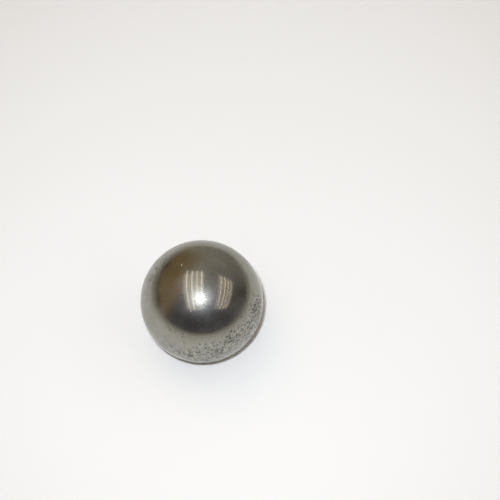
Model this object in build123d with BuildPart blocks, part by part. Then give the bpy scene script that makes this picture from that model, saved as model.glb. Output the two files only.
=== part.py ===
"""A loose steel ball, ground and polished all over: one solid piece with no hole, seat, seam or flat.

The origin is the ball's centre, with +Z up. Lengths are in millimetres.
"""

import os

from build123d import *

# Driving dimension
ball_diameter = 25.4

# Worked out from it
ball_radius = ball_diameter / 2

# The ball: a half disc, turned once about the upright axis that its straight side lies on
with BuildPart() as steel_ball:
    with BuildSketch(Plane.XZ) as half_section:
        with BuildLine() as half_outline:
            round_side = CenterArc((0, 0), ball_radius, start_angle=-90, arc_size=180)
            straight_side = Line(round_side @ 1, round_side @ 0)
        make_face()
    revolve(axis=Axis.Z)

steel_ball.part.label = "steel_ball"

os.makedirs("parts", exist_ok=True)
export_step(steel_ball.part, "parts/steel_ball.step")
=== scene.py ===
# %% [markdown]
# # A used steel ball
# The object is a loose bearing ball: hardened steel, ground round, polished to a mirror and then used for
# years. A mirror ball has hardly any colour of its own. What we see on it is its surroundings, so this
# lesson is half about the ball and half about the small studio around it.
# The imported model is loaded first. It fixes the size and the place, and nothing below moves or resizes it.

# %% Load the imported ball
import math
import random

import bmesh
import bpy
from mathutils import Euler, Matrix, Vector, kdtree, noise


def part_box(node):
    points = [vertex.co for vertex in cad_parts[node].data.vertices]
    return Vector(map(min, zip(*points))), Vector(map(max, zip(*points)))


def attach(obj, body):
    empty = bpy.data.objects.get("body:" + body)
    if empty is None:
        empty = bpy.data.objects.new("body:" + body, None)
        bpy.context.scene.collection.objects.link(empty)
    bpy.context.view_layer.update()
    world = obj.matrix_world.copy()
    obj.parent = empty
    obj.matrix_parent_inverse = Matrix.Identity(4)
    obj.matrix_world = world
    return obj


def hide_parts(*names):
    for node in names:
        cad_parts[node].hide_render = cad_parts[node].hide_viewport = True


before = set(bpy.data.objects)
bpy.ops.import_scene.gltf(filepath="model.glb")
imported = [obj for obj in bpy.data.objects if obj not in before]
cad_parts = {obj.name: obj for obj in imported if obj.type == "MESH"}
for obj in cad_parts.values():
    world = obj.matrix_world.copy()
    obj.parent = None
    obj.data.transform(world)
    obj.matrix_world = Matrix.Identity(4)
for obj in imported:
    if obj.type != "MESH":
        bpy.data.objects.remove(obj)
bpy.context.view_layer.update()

MM = 0.001
node_low, node_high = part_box("steel_ball")
ball_radius = max(node_high - node_low) / 2
floor_height = -ball_radius
print(f"ball diameter {2 * ball_radius / MM:.2f} mm, floor at z = {floor_height / MM:.2f} mm")

# %% [markdown]
# ## The camera
# The photo looks down on the ball from about 61 degrees. A longer lens from further away gives the flat
# perspective of the picture. The camera could be pointed straight at the ball, but then it would sit in the
# middle of the frame. Here the camera slides sideways and up without turning, until the ball lies where the
# photo has it, so the two pictures can be compared spot by spot.

# %% Camera
photo_side_px = 500
ball_centre_px = (201.7, 301.3)
ball_radius_px = 61.3
camera_elevation = math.radians(61)
camera_distance_radii = 45
camera_distance = camera_distance_radii * ball_radius

to_right = Vector((1, 0, 0))
to_camera = Vector((0, -math.cos(camera_elevation), math.sin(camera_elevation)))
to_top = Vector((0, math.sin(camera_elevation), math.cos(camera_elevation)))

size_of_px = ball_radius / ball_radius_px
aim = to_right * (photo_side_px / 2 - ball_centre_px[0]) * size_of_px
aim += to_top * (ball_centre_px[1] - photo_side_px / 2) * size_of_px

camera_data = bpy.data.cameras.new("camera")
camera_data.lens = camera_data.sensor_width * camera_distance / (photo_side_px * size_of_px)
camera = bpy.data.objects.new("camera", camera_data)
camera.location = aim + to_camera * camera_distance
camera.rotation_euler = (math.pi / 2 - camera_elevation, 0, 0)
bpy.context.collection.objects.link(camera)
bpy.context.scene.camera = camera
print(f"lens {camera_data.lens:.0f} mm at {camera_distance:.3f} m, one pixel is {size_of_px / MM:.3f} mm")

# %% [markdown]
# ## Where the ball is worn
# Damp has eaten a band of fine pits into the polish, round the lower right of the ball as the camera sees
# it. A few loners sit at the left. Every pit could be placed by hand, but corrosion is random inside a
# patch, so only the patches are chosen and a seeded random generator scatters the pits. Real pits keep
# company, so they are scattered in colonies, with many small ones for each large one.
# A patch is placed by two angles: the clock angle, clockwise in the picture from 3 o'clock, and the angle
# off the line to the camera. At 90 degrees off it lies on the outline, and beyond that round the back.

# %% Patches of corrosion
def on_ball(clock, off_axis):
    """The direction from the ball's centre to a spot, from its two angles in degrees."""
    clock, off_axis = math.radians(clock), math.radians(off_axis)
    outwards = to_right * math.cos(clock) - to_top * math.sin(clock)
    return outwards * math.sin(off_axis) + to_camera * math.cos(off_axis)


# name: clock angle, angle off axis and spread in degrees, number of colonies, largest pit's radius in mm
patches = {
    "right_edge": (4, 69, 7, 34, 0.20),
    "right_lower": (22, 66, 9, 44, 0.22),
    "lower_right": (46, 56, 8, 38, 0.20),
    "low_band": (71, 57, 9, 42, 0.22),
    "bottom_edge": (97, 65, 10, 46, 0.20),
    "under_right": (26, 84, 11, 36, 0.24),
    "under_left": (78, 84, 13, 34, 0.24),
    "lower_left": (120, 66, 8, 14, 0.15),
}
# name: clock angle and angle off axis in degrees, radius in mm, depth as a share of the radius, oxide in it
lone_pits = {
    "upper_left_glint": (-117, 41.3, 0.24, 0.45, 0.1),
    "upper_left_speck": (-124, 43.0, 0.16, 0.30, 0.9),
    "upper_left_speck_low": (-127, 40.0, 0.13, 0.30, 0.8),
    "left_high": (-143, 64.5, 0.27, 0.30, 1.0),
    "left_middle": (-152, 64.0, 0.23, 0.30, 0.9),
    "left_low": (-157, 64.0, 0.23, 0.30, 0.9),
    "left_edge": (178, 71.0, 0.16, 0.30, 0.8),
    "lower_left": (141, 66.0, 0.17, 0.30, 0.7),
    "lower_left_rim": (128, 74.0, 0.19, 0.30, 0.8),
    "low_middle": (95.5, 46.5, 0.19, 0.30, 0.9),
    "low_middle_lower": (94.5, 50.0, 0.15, 0.30, 0.8),
}
print(f"{len(patches)} patches and {len(lone_pits)} lone pits")

# %% Scatter the pits
random.seed(11)
smallest_pit = 0.08
pits_in_colony = 5
colony_spread = 3.2
depth_share_range = (0.25, 0.6)
oxide_range = (0.4, 1)
pit_places = []
pit_radii = []
pit_depths = []
pit_oxides = []


def stray_from(middle, spread):
    """A direction a random way off from another, by a spread in degrees."""
    offset = Vector((random.gauss(0, 1), random.gauss(0, 1), random.gauss(0, 1)))
    return (middle + offset * math.radians(spread)).normalized()


def add_pit(direction, radius, depth_share, oxide):
    """Notes one pit, with its radius in mm."""
    pit_places.append(direction * ball_radius)
    pit_radii.append(radius * MM)
    pit_depths.append(radius * MM * depth_share)
    pit_oxides.append(oxide)


for clock, off_axis, spread, colonies, largest in patches.values():
    for _ in range(colonies):
        colony = stray_from(on_ball(clock, off_axis), spread)
        for _ in range(pits_in_colony):
            radius = smallest_pit + (largest - smallest_pit) * random.random() ** 2
            direction = stray_from(colony, colony_spread)
            depth_share = random.uniform(*depth_share_range)
            add_pit(direction, radius, depth_share, random.uniform(*oxide_range))
for clock, off_axis, radius, depth_share, oxide in lone_pits.values():
    add_pit(on_ball(clock, off_axis), radius, depth_share, oxide)

widest_pit = max(pit_radii)
pit_tree = kdtree.KDTree(len(pit_places))
for pit, pit_place in enumerate(pit_places):
    pit_tree.insert(pit_place, pit)
pit_tree.balance()
print(f"{len(pit_places)} pits, {2 * min(pit_radii) / MM:.2f} to {2 * widest_pit / MM:.2f} mm across")

# %% [markdown]
# ## The ball blank
# A UV sphere crowds its faces at two poles, and a mirror shows every such flaw. An icosphere has even
# triangles all over, so it makes the blank. It is too coarse for pits a fifth of a millimetre wide, and to
# subdivide all of it would cost millions of faces. So only the edges near a pit are cut in half, three
# times over, and each round pushes the new points out onto the true sphere.

# %% Ball blank, finer near the pits
blank_subdivisions = 6
cutting_rounds = 3
reach_share = 0.6


def gap_to_rim(point, reach):
    """How far a point lies outside the nearest pit's rim, if that is within reach."""
    gaps = [gap - pit_radii[pit] for _, pit, gap in pit_tree.find_range(point, reach + widest_pit)]
    return min(gaps, default=reach)


ball_mesh = bmesh.new()
bmesh.ops.create_icosphere(ball_mesh, subdivisions=blank_subdivisions, radius=ball_radius)
blank_edge = max(edge.calc_length() for edge in ball_mesh.edges)
for round_number in range(cutting_rounds):
    reach = reach_share * blank_edge / 2 ** round_number
    near = {vert for vert in ball_mesh.verts if gap_to_rim(vert.co, reach) < reach}
    cut_edges = [edge for edge in ball_mesh.edges if near.intersection(edge.verts)]
    bmesh.ops.subdivide_edges(ball_mesh, edges=cut_edges, cuts=1, use_grid_fill=True)
    bmesh.ops.triangulate(ball_mesh, faces=[face for face in ball_mesh.faces if len(face.verts) > 3])
    for vert in ball_mesh.verts:
        vert.co = vert.co.normalized() * ball_radius
    print(f"round {round_number + 1}: {len(cut_edges)} edges cut, {len(ball_mesh.faces)} faces")

# %% [markdown]
# ## Press in the pits
# A corrosion pit is a shallow dish with a ragged rim and a flat floor. It could be faked with bump alone,
# but then the exported mesh would stay plain. So the points are really moved inwards, and a noise makes each
# rim uneven. Three values are stored on the points for the material to read: how much oxide lies there, how
# stained it is around a pit, and how worn the whole area is.

# %% Shape of a pit and of a worn area
# as shares of a pit's radius: its flat floor, and where the stain round it starts to fade and ends
pit_floor_share = 0.35
stain_start_share = 0.7
stain_end_share = 1.5
# as shares of a patch's spread: where the wear starts to fade and ends
wear_start_share = 0.4
wear_end_share = 2.6
ragged_grain = 0.16 * MM
ragged_share = 0.5


def fade(value, start, end):
    """1 before start, 0 after end, and a smooth fall between."""
    step = min(max((value - start) / (end - start), 0), 1)
    return 1 - step * step * (3 - 2 * step)


worn_areas = [(on_ball(clock, off), math.radians(spread)) for clock, off, spread, _, _ in patches.values()]


def wear_at(direction):
    """How worn the polish is at a direction from the ball's centre, from 0 to 1."""
    return max(
        fade(direction.angle(middle), wear_start_share * spread, wear_end_share * spread)
        for middle, spread in worn_areas
    )


first_patch, _ = worn_areas[0]
print(f"wear {wear_at(to_camera):.2f} facing the camera, {wear_at(first_patch):.2f} in the first patch")

# %% Press the pits and store the wear
oxide_layer = ball_mesh.verts.layers.float.new("oxide")
stain_layer = ball_mesh.verts.layers.float.new("stain")
wear_layer = ball_mesh.verts.layers.float.new("wear")
polished = []
for vert in ball_mesh.verts:
    outwards = vert.co.normalized()
    ragged = 1 + ragged_share * noise.noise(vert.co / ragged_grain)
    sink = 0
    for _, pit, gap in pit_tree.find_range(vert.co, stain_end_share * widest_pit):
        share = gap * ragged / pit_radii[pit]
        dish = fade(share, pit_floor_share, 1)
        stained = fade(share, stain_start_share, stain_end_share)
        sink = max(sink, dish * pit_depths[pit])
        vert[oxide_layer] = max(vert[oxide_layer], dish * pit_oxides[pit])
        vert[stain_layer] = max(vert[stain_layer], stained * pit_oxides[pit])
    vert[wear_layer] = wear_at(outwards)
    vert.co = outwards * (ball_radius - sink)
    polished.append(sink == 0)
print(f"{len(polished) - sum(polished)} of {len(polished)} points lie in pits")

# %% [markdown]
# ## The finished mesh
# Smooth shading blends the directions of neighbouring faces. Beside a pit that would tilt the polish as
# well, and a mirror would show it as a dent. So every polished point gets the exact direction of the true
# sphere, and only the points in pits keep the one that Blender works out.
# The last calls tie the piece to the imported model: it moves with the body root and stands in for the CAD
# ball, which is hidden.

# %% Make the ball a piece of the model
for face in ball_mesh.faces:
    face.smooth = True
bmesh.ops.recalc_face_normals(ball_mesh, faces=ball_mesh.faces)
ball_data = bpy.data.meshes.new("ball")
ball_mesh.to_mesh(ball_data)
ball_mesh.free()

# A normal of zero means that Blender works it out.
ball_data.normals_split_custom_set_from_vertices(
    [vert.co.normalized() if smooth else (0, 0, 0) for vert, smooth in zip(ball_data.vertices, polished)]
)
ball = bpy.data.objects.new("ball", ball_data)
bpy.context.collection.objects.link(ball)
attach(ball, "root")
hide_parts("steel_ball")
print(f"ball: {len(ball_data.polygons)} triangles")

# %% [markdown]
# ## Node helpers
# Materials are small networks of nodes. One function adds a node, sets it and links it. Colours are written
# as the hex values a designer would pick on screen, and one function turns them into the linear numbers
# that the renderer counts in.

# %% Helpers for materials
def linear(hex_colour):
    """An sRGB hex colour as linear red, green, blue and alpha, by the sRGB standard's own curve."""
    shares = [int(hex_colour[start:start + 2], 16) / 255 for start in (1, 3, 5)]
    return [s / 12.92 if s <= 0.04045 else ((s + 0.055) / 1.055) ** 2.4 for s in shares] + [1]


def add_node(tree, kind, inputs=None, **settings):
    """Adds one node. Each input is a plain value, or the output of another node to link."""
    made = tree.nodes.new(kind)
    for name, value in settings.items():
        setattr(made, name, value)
    for socket, value in (inputs or {}).items():
        if isinstance(value, bpy.types.NodeSocket):
            tree.links.new(value, made.inputs[socket])
        else:
            made.inputs[socket].default_value = value
    return made


def new_material(name):
    """A material with an empty node tree, and that tree."""
    material = bpy.data.materials.new(name)
    material.use_nodes = True
    material.node_tree.nodes.clear()
    return material, material.node_tree


# A Mix node has a set of sockets for each kind of data. These are the ones for colours.
MIX_A, MIX_B, MIX_RESULT = 6, 7, 2
print(f"a middle grey of #808080 is {linear('#808080')[0]:.3f} as a linear number")

# %% [markdown]
# ## Polished bearing steel
# Through-hardened steel, ground and lapped to a mirror, then handled and rolled about. To the eye that is a
# grey mirror with a slight warmth. One colour and one roughness would make it look new, so the finish is
# built up from a film, scuffs, etching and oxide. A picture could be wrapped round the ball, but no flat
# picture fits a sphere without stretching. So every pattern is worked out in space, from its real size.

# %% Steel: what the nodes read
steel, steel_tree = new_material("polished_bearing_steel")
place = add_node(steel_tree, "ShaderNodeTexCoord").outputs["Object"]
oxide_value = add_node(steel_tree, "ShaderNodeAttribute", attribute_name="oxide").outputs["Fac"]
stain_value = add_node(steel_tree, "ShaderNodeAttribute", attribute_name="stain").outputs["Fac"]
wear_value = add_node(steel_tree, "ShaderNodeAttribute", attribute_name="wear").outputs["Fac"]
print(f"{steel.name}: {len(steel_tree.nodes)} nodes that read the ball")

# %% [markdown]
# ### The film on the steel
# A thin film of oxide and grease scatters part of the light, which puts a soft haze round every bright
# reflection. A rough metal could not do that, because it blurs the mirror image itself. So the film is the
# shader's coat: a second, duller surface on top of a sharp one. A noise makes it blotchy, as handling does.

# %% Steel: blotchy film
film_blotch = 4 * MM
film_noise_range = (0.35, 0.65)
thinnest_film = 0.6

blotches = add_node(steel_tree, "ShaderNodeTexNoise", {
    "Vector": place, "Scale": 1 / film_blotch, "Detail": 5})
film = add_node(steel_tree, "ShaderNodeMapRange", {
    "Value": blotches.outputs["Fac"], "From Min": film_noise_range[0], "From Max": film_noise_range[1],
    "To Min": thinnest_film, "To Max": 1}).outputs[0]
print(f"film in blotches of {film_blotch / MM:.0f} mm")

# %% [markdown]
# ### Scuffs
# Rolling about leaves short, fine scratches that run every way. They are much finer than the mesh, so they
# only change the roughness. Each set is a noise that is stretched into strokes, and only its peaks count, so
# the strokes stay apart. A scuff is drawn 0.05 mm wide, several times its real width, so that it still shows
# from a step away.

# %% Steel: fine scuffs
scuff_length = 0.8 * MM
scuff_width = 0.05 * MM
scuff_noise_range = (0.68, 0.76)
scuff_turns = [(0.4, 0.2, 0.3), (1.3, 0.9, 2.0), (2.3, 0.5, 1.1)]

scuffs = 0.0
for turn in scuff_turns:
    turned = add_node(steel_tree, "ShaderNodeMapping", {
        "Vector": place, "Rotation": turn, "Scale": (1 / scuff_length, 1 / scuff_width, 1 / scuff_width)})
    strokes = add_node(steel_tree, "ShaderNodeTexNoise", {
        "Vector": turned.outputs[0], "Scale": 1, "Detail": 0})
    lines = add_node(steel_tree, "ShaderNodeMapRange", {
        "Value": strokes.outputs["Fac"], "From Min": scuff_noise_range[0], "From Max": scuff_noise_range[1]})
    scuffs = add_node(steel_tree, "ShaderNodeMath", {
        0: lines.outputs[0], 1: scuffs}, operation="MAXIMUM").outputs[0]
print(f"scuffs of {scuff_length / MM:.1f} by {scuff_width / MM:.2f} mm in {len(scuff_turns)} directions")

# %% [markdown]
# ### The etched area
# Between the pits damp has etched the polish into light flecks and dark specks, too fine to press into the
# mesh. A noise gives the grain: its high values are eaten away and dark, and its low ones are left standing,
# as light flecks. The specks come from a Voronoi pattern, in which each cell may hold one. Both are
# multiplied by the stored wear, so they end where the worn area ends.

# %% Steel: etched grain in the worn area
etched_grain = 0.75 * MM
etched_noise_range = (0.44, 0.64)
fleck_noise_range = (0.46, 0.34)

grain = add_node(steel_tree, "ShaderNodeTexNoise", {
    "Vector": place, "Scale": 1 / etched_grain, "Detail": 3, "Roughness": 0.65})
grain_spots = add_node(steel_tree, "ShaderNodeMapRange", {
    "Value": grain.outputs["Fac"], "From Min": etched_noise_range[0], "From Max": etched_noise_range[1]})
etched = add_node(steel_tree, "ShaderNodeMath", {
    0: grain_spots.outputs[0], 1: wear_value}, operation="MULTIPLY").outputs[0]
grain_tops = add_node(steel_tree, "ShaderNodeMapRange", {
    "Value": grain.outputs["Fac"], "From Min": fleck_noise_range[0], "From Max": fleck_noise_range[1]})
flecks = add_node(steel_tree, "ShaderNodeMath", {
    0: grain_tops.outputs[0], 1: wear_value}, operation="MULTIPLY").outputs[0]
print(f"etched grain of {etched_grain / MM:.2f} mm")

# %% Steel: dark specks in the worn area
# A cell's own random value, times the wear, sets the size of its speck, and below a limit there is none.
# The sizes are shares of the spacing.
speck_spacing = 0.42 * MM
speck_size_share = 0.50
speck_limit_share = 0.16
speck_edge_share = 0.12
speck_strength = 0.65

cells = add_node(steel_tree, "ShaderNodeTexVoronoi", {"Vector": place, "Scale": 1 / speck_spacing})
cell_value = add_node(steel_tree, "ShaderNodeSeparateXYZ", {"Vector": cells.outputs["Color"]}).outputs["X"]
cell_wear = add_node(steel_tree, "ShaderNodeMath", {0: cell_value, 1: wear_value}, operation="MULTIPLY")
speck_radius = add_node(steel_tree, "ShaderNodeMath", {
    0: cell_wear.outputs[0], 1: speck_size_share, 2: -speck_limit_share}, operation="MULTIPLY_ADD")
depth_in_speck = add_node(steel_tree, "ShaderNodeMath", {
    0: speck_radius.outputs[0], 1: cells.outputs["Distance"]}, operation="SUBTRACT")
specks = add_node(steel_tree, "ShaderNodeMapRange", {
    "Value": depth_in_speck.outputs[0], "From Min": 0.0, "From Max": speck_edge_share,
    "To Max": speck_strength}).outputs[0]
dark_spots = add_node(steel_tree, "ShaderNodeMath", {
    0: specks, 1: oxide_value}, operation="MAXIMUM").outputs[0]
print(f"specks {speck_spacing / MM:.2f} mm apart")

# %% [markdown]
# ### The layers put together
# Clean steel comes first, then stain, flecks and oxide over it, each where its own pattern says. The pits
# hold brown-black oxide, which is rough, mirrors little and has no film on it. A bare metal mirrors nearly
# everything at its outline. The shader's edge colour holds that back to a light grey, as a dull film does.

# %% Steel: colour
steel_colour = linear("#868578")
stained_colour = linear("#68665F")
fleck_colour = linear("#ACAAA0")
oxide_colour = linear("#332C25")

stains = add_node(steel_tree, "ShaderNodeMath", {0: stain_value, 1: etched}, operation="MAXIMUM").outputs[0]
stained_steel = add_node(steel_tree, "ShaderNodeMix", {
    0: stains, MIX_A: steel_colour, MIX_B: stained_colour}, data_type="RGBA").outputs[MIX_RESULT]
flecked_steel = add_node(steel_tree, "ShaderNodeMix", {
    0: flecks, MIX_A: stained_steel, MIX_B: fleck_colour}, data_type="RGBA").outputs[MIX_RESULT]
colour = add_node(steel_tree, "ShaderNodeMix", {
    0: dark_spots, MIX_A: flecked_steel, MIX_B: oxide_colour}, data_type="RGBA").outputs[MIX_RESULT]
print(f"clean steel mirrors {steel_colour[0]:.2f} of red and {steel_colour[2]:.2f} of blue light")

# %% Steel: roughness, metal and relief
polish_roughness = 0.09
scuff_roughness = 0.28
etched_roughness = 0.15
oxide_roughness = 0.5
oxide_metal = 0.5
etched_depth = 0.008 * MM

scuffed = add_node(steel_tree, "ShaderNodeMapRange", {
    "Value": scuffs, "To Min": polish_roughness, "To Max": scuff_roughness}).outputs[0]
dulled = add_node(steel_tree, "ShaderNodeMath", {
    0: etched, 1: etched_roughness, 2: scuffed}, operation="MULTIPLY_ADD").outputs[0]
roughness = add_node(steel_tree, "ShaderNodeMapRange", {
    "Value": dark_spots, "To Min": dulled, "To Max": oxide_roughness}).outputs[0]
metal = add_node(steel_tree, "ShaderNodeMapRange", {
    "Value": dark_spots, "To Min": 1, "To Max": oxide_metal}).outputs[0]
film_left = add_node(steel_tree, "ShaderNodeMapRange", {
    "Value": dark_spots, "To Min": film, "To Max": 0}).outputs[0]

hollows = add_node(steel_tree, "ShaderNodeMath", {0: specks, 1: etched}, operation="ADD").outputs[0]
relief = add_node(steel_tree, "ShaderNodeBump", {
    "Height": hollows, "Distance": etched_depth}, invert=True).outputs["Normal"]
print(f"roughness {polish_roughness} on the polish, {oxide_roughness} in the oxide")

# %% Steel: the shader
# The film's IOR is that of iron oxide, 2.3 or more.
steel_edge_colour = linear("#D8D8D8")
film_roughness = 0.42
film_ior = 2.3

steel_surface = add_node(steel_tree, "ShaderNodeBsdfPrincipled", {
    "Base Color": colour, "Metallic": metal, "Roughness": roughness, "Normal": relief,
    "Specular Tint": steel_edge_colour,
    "Coat Weight": film_left, "Coat Roughness": film_roughness, "Coat IOR": film_ior})
add_node(steel_tree, "ShaderNodeOutputMaterial", {"Surface": steel_surface.outputs["BSDF"]})
ball_data.materials.append(steel)
print(f"steel: {len(steel_tree.nodes)} nodes")

# %% [markdown]
# ## The floor
# A sheet of matt white paper, which gives the eye an even, shineless white. It matters as much as the ball's
# own finish, because the whole pale rim of the ball is this paper, mirrored. A plane would do, but a low
# view would see its corners, so it is a wide disc.

# %% Paper floor
floor_radius = 1.5
floor_segments = 96
paper_colour = linear("#F3F3F3")
paper_roughness = 0.9
paper_specular = 0.2

floor_mesh = bmesh.new()
bmesh.ops.create_circle(floor_mesh, cap_ends=True, radius=floor_radius, segments=floor_segments)
bmesh.ops.translate(floor_mesh, verts=floor_mesh.verts, vec=(0, 0, floor_height))
floor_data = bpy.data.meshes.new("floor")
floor_mesh.to_mesh(floor_data)
floor_mesh.free()
floor = bpy.data.objects.new("floor", floor_data)
bpy.context.collection.objects.link(floor)

paper, paper_tree = new_material("matt_white_paper")
paper_surface = add_node(paper_tree, "ShaderNodeBsdfPrincipled", {
    "Base Color": paper_colour, "Roughness": paper_roughness, "Specular IOR Level": paper_specular})
add_node(paper_tree, "ShaderNodeOutputMaterial", {"Surface": paper_surface.outputs["BSDF"]})
floor_data.materials.append(paper)
print(f"floor: {2 * floor_radius:.1f} m across, sends back {paper_colour[0]:.2f} of the light")

# %% [markdown]
# ## The key lamp
# A small bright lamp beside the camera makes the white spark in the middle of the ball and the narrow shadow
# at its lower right. One spot could do that. But the ball's pale rim is brightest at the outline, where it
# mirrors the paper close by, and fades inwards to a clear edge, where it mirrors the far end of the light.
# So two beams leave the same lamp. The pool has a sharp edge, which draws that line, and the core fades all
# the way from its middle, which makes the paper brightest near the ball.

# %% Key lamp beside the camera
key_above_camera = math.radians(4.9)
key_left_of_camera = math.radians(1.5)
key_offset = to_top * math.tan(key_above_camera) - to_right * math.tan(key_left_of_camera)
key_direction = (to_camera + key_offset).normalized()

key_colour = linear("#F0F7FF")
key_lamp_radius = 0.013
# name: watts, angle of the cone in degrees, how much of the cone is soft edge, and where its middle lands
beams = {
    "key_pool": (5.0, 28.5, 0.12, (0.010, -0.045, floor_height)),
    "key_core": (5.0, 24.0, 1.0, (0.010, 0.012, floor_height)),
}
for beam, (watts, cone, soft_share, lands_at) in beams.items():
    key_data = bpy.data.lights.new(beam, "SPOT")
    key_data.energy = watts
    key_data.color = key_colour[:3]
    key_data.shadow_soft_size = key_lamp_radius
    key_data.spot_size = math.radians(cone)
    key_data.spot_blend = soft_share
    key = bpy.data.objects.new(beam, key_data)
    key.location = key_direction * camera_distance
    key.rotation_euler = (Vector(lands_at) - key.location).to_track_quat("-Z", "Y").to_euler()
    bpy.context.collection.objects.link(key)
    print(f"{beam}: {watts} W in {cone} degrees, {key.location.length:.3f} m from the ball")

# %% [markdown]
# ## The strip lights
# Two banks of four strips hang overhead, and the ball mirrors them as two groups of fine lines. They are
# area lamps, because those have a real shape that a mirror shows. A lamp's power is worked out from how
# bright its surface looks, so a longer strip isn't dimmer. A faint panel behind each bank is its lit
# housing.

# %% Strip lights
strip_height = 0.8
strip_width = 0.022
panel_height = strip_height + strip_width
panel_far = 0.46
panel_near = -0.80
# for each bank: every strip's place across, its far and near end and how bright it looks, then the panel's
# two edges across and how bright that looks, and the colour of the light
banks = {
    "left": (
        [
            (-0.395, 0.55, -0.90, 3.3),
            (-0.240, 0.50, -0.78, 2.8),
            (-0.106, 0.47, -0.45, 2.2),
            (0.012, 0.46, -0.45, 2.5),
        ],
        (-0.53, 0.07), 0.52, "#FFF4E9",
    ),
    "right": (
        [
            (0.58, 0.40, -0.65, 3.0),
            (0.755, 0.44, -0.80, 3.7),
            (0.935, 0.45, -0.90, 3.3),
            (1.14, 0.50, -0.82, 3.6),
        ],
        (0.48, 1.38), 0.44, "#FFEFE3",
    ),
}
print(f"strips {strip_width / MM:.0f} mm wide, {strip_height} m above the ball's centre")

# %% Hang the strips and panels
def add_area_lamp(name, across, far, near, height, radiance, hex_colour):
    """A rectangular lamp that faces down, given by its edges and by how bright its surface looks."""
    left, right = across
    lamp_data = bpy.data.lights.new(name, "AREA")
    lamp_data.shape = "RECTANGLE"
    lamp_data.size = right - left
    lamp_data.size_y = far - near
    lamp_data.color = linear(hex_colour)[:3]
    lamp_data.energy = radiance * math.pi * lamp_data.size * lamp_data.size_y
    lamp = bpy.data.objects.new(name, lamp_data)
    lamp.location = ((left + right) / 2, (far + near) / 2, height)
    bpy.context.collection.objects.link(lamp)


for bank, (strips, panel_edges, panel_radiance, bank_colour) in banks.items():
    for strip_number, (strip_middle, far, near, strip_radiance) in enumerate(strips, start=1):
        strip_edges = (strip_middle - strip_width / 2, strip_middle + strip_width / 2)
        strip_name = f"{bank}_strip_{strip_number}"
        add_area_lamp(strip_name, strip_edges, far, near, strip_height, strip_radiance, bank_colour)
    panel_name = f"{bank}_panel"
    add_area_lamp(panel_name, panel_edges, panel_far, panel_near, panel_height, panel_radiance, bank_colour)
    print(f"{bank} bank: {len(strips)} strips and a panel")

# %% [markdown]
# ## The room
# Around the paper the studio is dim: dark behind the camera, with a grey wall on the far side, a warm wall
# and an amber corner at the left over a dark skirting, a grey corner at the right and a pale ceiling. A real
# room could be modelled, but the ball shows it small and hazed, so soft patches of colour will do.
# The world shader starts from the dark and lays one patch after another over it. A patch is a direction,
# and its edge is given by the cosine of the angle from that direction.

# %% Patches of the room
room_dark = linear("#2B2825")
# name: azimuth from straight ahead towards the right, elevation, cosines where it starts and is full, colour
room_patches = {
    "far_wall": (-8, 20, -0.10, 1.15, "#AFA99C"),
    "warm_wall": (-70, 12, 0.55, 0.85, "#967D54"),
    "amber_corner": (-36, 21, 0.76, 1.0, "#907642"),
    "right_corner": (100, 9, 0.94, 1.0, "#646359"),
    "ceiling": (0, 90, 0.75, 0.95, "#86837A"),
}
# The skirting is three patches side by side, alike in all but their azimuth.
skirting = (-4, 0.955, 1.0, "#46413A")
for azimuth in (-45, -66, -87):
    room_patches[f"skirting_{abs(azimuth)}_left"] = (azimuth, *skirting)
print(f"room: {len(room_patches)} patches, {', '.join(room_patches)}")

# %% World
world = bpy.data.worlds.new("dim_studio")
bpy.context.scene.world = world
world.use_nodes = True
room_tree = world.node_tree
room_tree.nodes.clear()
view_direction = add_node(room_tree, "ShaderNodeTexCoord").outputs["Generated"]
room = room_dark
for azimuth, elevation, patch_start, patch_full, hex_colour in room_patches.values():
    turn = Euler((math.radians(elevation), 0, -math.radians(azimuth)))
    towards = turn.to_matrix() @ Vector((0, 1, 0))
    cosine = add_node(room_tree, "ShaderNodeVectorMath", {
        0: view_direction, 1: towards}, operation="DOT_PRODUCT")
    cover = add_node(room_tree, "ShaderNodeMapRange", {
        "Value": cosine.outputs["Value"], "From Min": patch_start, "From Max": patch_full},
        interpolation_type="SMOOTHSTEP")
    room = add_node(room_tree, "ShaderNodeMix", {
        0: cover.outputs[0], MIX_A: room, MIX_B: linear(hex_colour)}, data_type="RGBA").outputs[MIX_RESULT]
background = add_node(room_tree, "ShaderNodeBackground", {"Color": room, "Strength": 1})
add_node(room_tree, "ShaderNodeOutputWorld", {"Surface": background.outputs["Background"]})
print(f"world: {len(room_tree.nodes)} nodes")

# %% [markdown]
# ## Colour view
# Standard colour keeps a written colour as it is.

# %% Finish
bpy.context.scene.view_settings.view_transform = "Standard"
